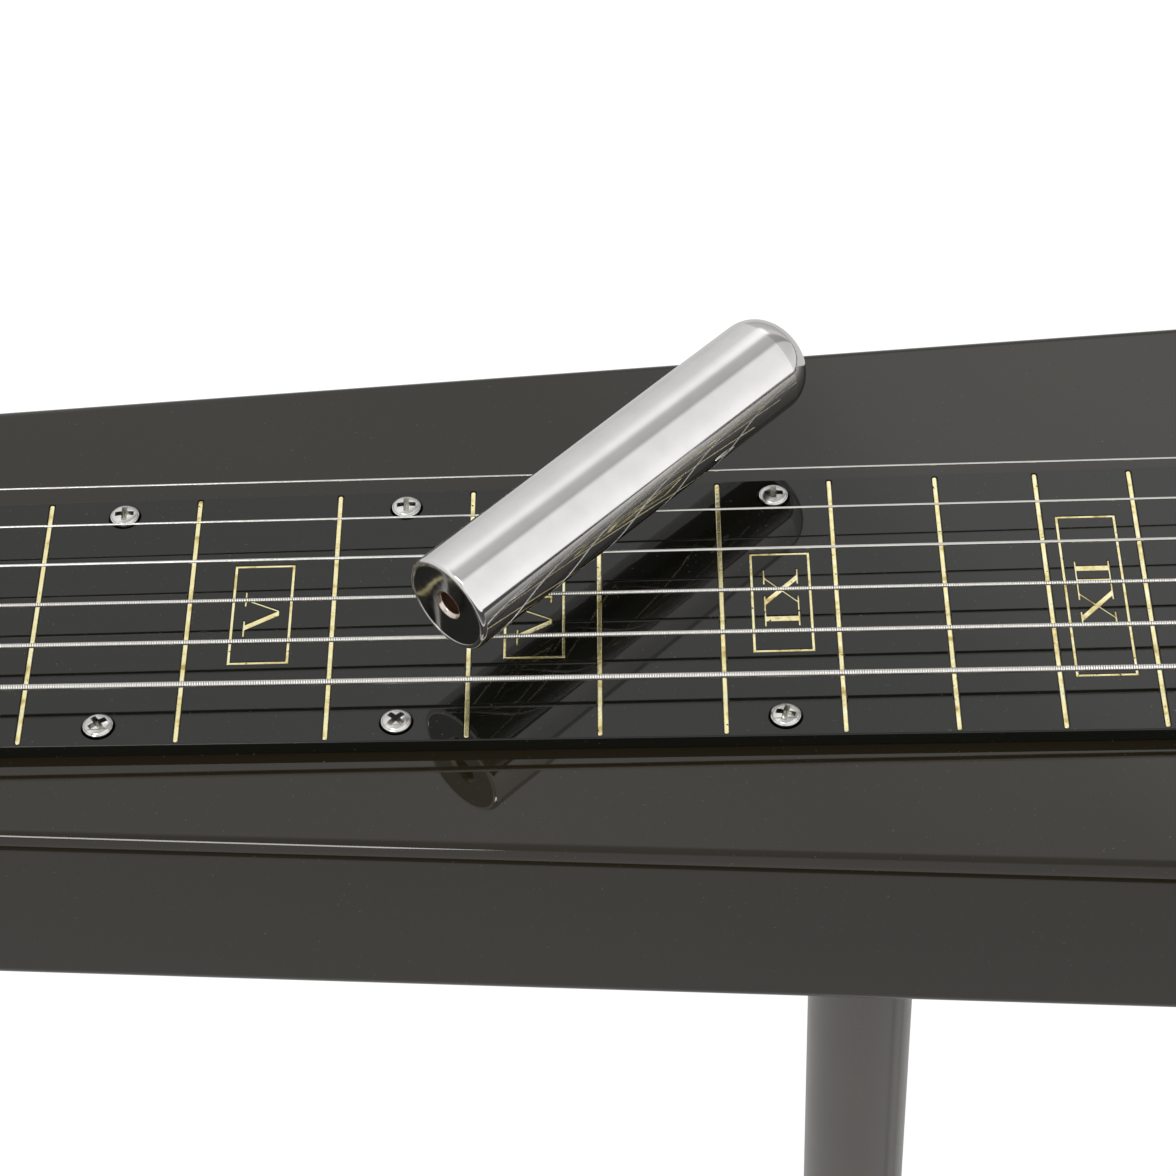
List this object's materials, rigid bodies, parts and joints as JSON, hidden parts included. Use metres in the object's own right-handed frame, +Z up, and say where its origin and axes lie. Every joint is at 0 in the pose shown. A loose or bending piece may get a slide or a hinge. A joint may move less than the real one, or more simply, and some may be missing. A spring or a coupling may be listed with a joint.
{
  "type": "lap steel guitar",
  "caption": "Electric lap steel guitar with a flat marked fretboard, geared tuners, pickup, bridge and controls, on screw-in legs, with a tone bar lying on its strings.",
  "frame": {"origin": "centre of the bounding box's bottom, on the floor between the feet", "axes": "+X along the strings from the head to the tail, +Y to the treble side, +Z up"},
  "size_m": [0.7936, 0.1754, 0.7083],
  "materials": {
    "black_lacquer": "black gloss lacquer on solid wood",
    "black_acrylic": "polished black acrylic with gold-filled lines",
    "screw_steel": "plated steel",
    "string_steel": "plain and wound steel",
    "bright_chrome": "polished, with light scratches",
    "nickel": "nickel plated",
    "leg_paint": "dark grey gloss paint on steel tube",
    "foot_rubber": "matt black",
    "coil_brown": "taped coil",
    "cover_plastic": "satin black moulding"
  },
  "bodies": {
    "guitar": {"body": "black_lacquer", "fretboard": "black_acrylic", "fretboard_screw_bass_1": "screw_steel", "fretboard_screw_treble_1": "screw_steel", "fretboard_screw_bass_2": "screw_steel", "fretboard_screw_treble_2": "screw_steel", "fretboard_screw_bass_3": "screw_steel", "fretboard_screw_treble_3": "screw_steel", "fretboard_screw_bass_4": "screw_steel", "fretboard_screw_treble_4": "screw_steel", "fretboard_screw_bass_5": "screw_steel", "fretboard_screw_treble_5": "screw_steel", "fretboard_screw_bass_6": "screw_steel", "fretboard_screw_treble_6": "screw_steel", "nut": "bright_chrome", "bridge_saddle": "bright_chrome", "bridge_plate": "bright_chrome", "pickup_coil": "coil_brown", "pickup_cover": "cover_plastic", "volume_pot": "nickel", "tone_pot": "nickel", "rear_cover": "cover_plastic", "jack_plate": "bright_chrome", "jack_socket": "nickel", "tuner_plate_treble": "nickel", "tuner_plate_bass": "nickel", "string_1": "string_steel", "string_2": "string_steel", "string_3": "string_steel", "string_4": "string_steel", "string_5": "string_steel", "string_6": "string_steel", "leg_socket_front": "nickel", "leg_front": "leg_paint", "foot_front": "foot_rubber", "leg_socket_rear_bass": "nickel", "leg_rear_bass": "leg_paint", "foot_rear_bass": "foot_rubber", "leg_socket_rear_treble": "nickel", "leg_rear_treble": "leg_paint", "foot_rear_treble": "foot_rubber"},
    "key_1": {"tuner_key_1": "bright_chrome"},
    "post_1": {"tuner_post_1": "nickel"},
    "key_2": {"tuner_key_2": "bright_chrome"},
    "post_2": {"tuner_post_2": "nickel"},
    "key_3": {"tuner_key_3": "bright_chrome"},
    "post_3": {"tuner_post_3": "nickel"},
    "key_4": {"tuner_key_4": "bright_chrome"},
    "post_4": {"tuner_post_4": "nickel"},
    "key_5": {"tuner_key_5": "bright_chrome"},
    "post_5": {"tuner_post_5": "nickel"},
    "key_6": {"tuner_key_6": "bright_chrome"},
    "post_6": {"tuner_post_6": "nickel"},
    "volume": {"volume_knob": "bright_chrome", "volume_shaft": "nickel"},
    "tone": {"tone_knob": "bright_chrome", "tone_shaft": "nickel"},
    "bar": {"tone_bar": "bright_chrome"}
  },
  "joints": [
    {"name": "key_1_turn", "type": "hinge", "parent": "guitar", "child": "key_1", "pos_m": [-0.303, 0.02026, 0.64175], "axis": [0, 1, 0], "continuous": true},
    {"name": "key_2_turn", "type": "hinge", "parent": "guitar", "child": "key_2", "pos_m": [-0.341, 0.02026, 0.64175], "axis": [0, 1, 0], "continuous": true},
    {"name": "key_3_turn", "type": "hinge", "parent": "guitar", "child": "key_3", "pos_m": [-0.379, 0.02026, 0.64175], "axis": [0, 1, 0], "continuous": true},
    {"name": "key_4_turn", "type": "hinge", "parent": "guitar", "child": "key_4", "pos_m": [-0.379, -0.03274, 0.64175], "axis": [0, -1, 0], "continuous": true},
    {"name": "key_5_turn", "type": "hinge", "parent": "guitar", "child": "key_5", "pos_m": [-0.341, -0.03274, 0.64175], "axis": [0, -1, 0], "continuous": true},
    {"name": "key_6_turn", "type": "hinge", "parent": "guitar", "child": "key_6", "pos_m": [-0.303, -0.03274, 0.64175], "axis": [0, -1, 0], "continuous": true},
    {"name": "post_1_turn", "type": "hinge", "parent": "guitar", "child": "post_1", "pos_m": [-0.29475, 0.02026, 0.64175], "axis": [0, 0, 1], "continuous": true},
    {"name": "post_2_turn", "type": "hinge", "parent": "guitar", "child": "post_2", "pos_m": [-0.33275, 0.02026, 0.64175], "axis": [0, 0, 1], "continuous": true},
    {"name": "post_3_turn", "type": "hinge", "parent": "guitar", "child": "post_3", "pos_m": [-0.37075, 0.02026, 0.64175], "axis": [0, 0, 1], "continuous": true},
    {"name": "post_4_turn", "type": "hinge", "parent": "guitar", "child": "post_4", "pos_m": [-0.37075, -0.03274, 0.64175], "axis": [0, 0, 1], "continuous": true},
    {"name": "post_5_turn", "type": "hinge", "parent": "guitar", "child": "post_5", "pos_m": [-0.33275, -0.03274, 0.64175], "axis": [0, 0, 1], "continuous": true},
    {"name": "post_6_turn", "type": "hinge", "parent": "guitar", "child": "post_6", "pos_m": [-0.29475, -0.03274, 0.64175], "axis": [0, 0, 1], "continuous": true},
    {"name": "volume_turn", "type": "hinge", "parent": "guitar", "child": "volume", "pos_m": [0.31125, 0.05976, 0.678], "axis": [0, 0, 1], "range_deg": [-140, 140]},
    {"name": "tone_turn", "type": "hinge", "parent": "guitar", "child": "tone", "pos_m": [0.35625, 0.05976, 0.678], "axis": [0, 0, 1], "range_deg": [-140, 140]},
    {"name": "bar_slide", "type": "slide", "parent": "guitar", "child": "bar", "axis": [1, 0, -0.0026], "range_m": [-0.15, 0.215]}
  ],
  "couplings": [
    {"joint": "post_1_turn", "follows": "key_1_turn", "ratio": 0.071429},
    {"joint": "post_2_turn", "follows": "key_2_turn", "ratio": 0.071429},
    {"joint": "post_3_turn", "follows": "key_3_turn", "ratio": 0.071429},
    {"joint": "post_4_turn", "follows": "key_4_turn", "ratio": -0.071429},
    {"joint": "post_5_turn", "follows": "key_5_turn", "ratio": -0.071429},
    {"joint": "post_6_turn", "follows": "key_6_turn", "ratio": -0.071429}
  ]
}
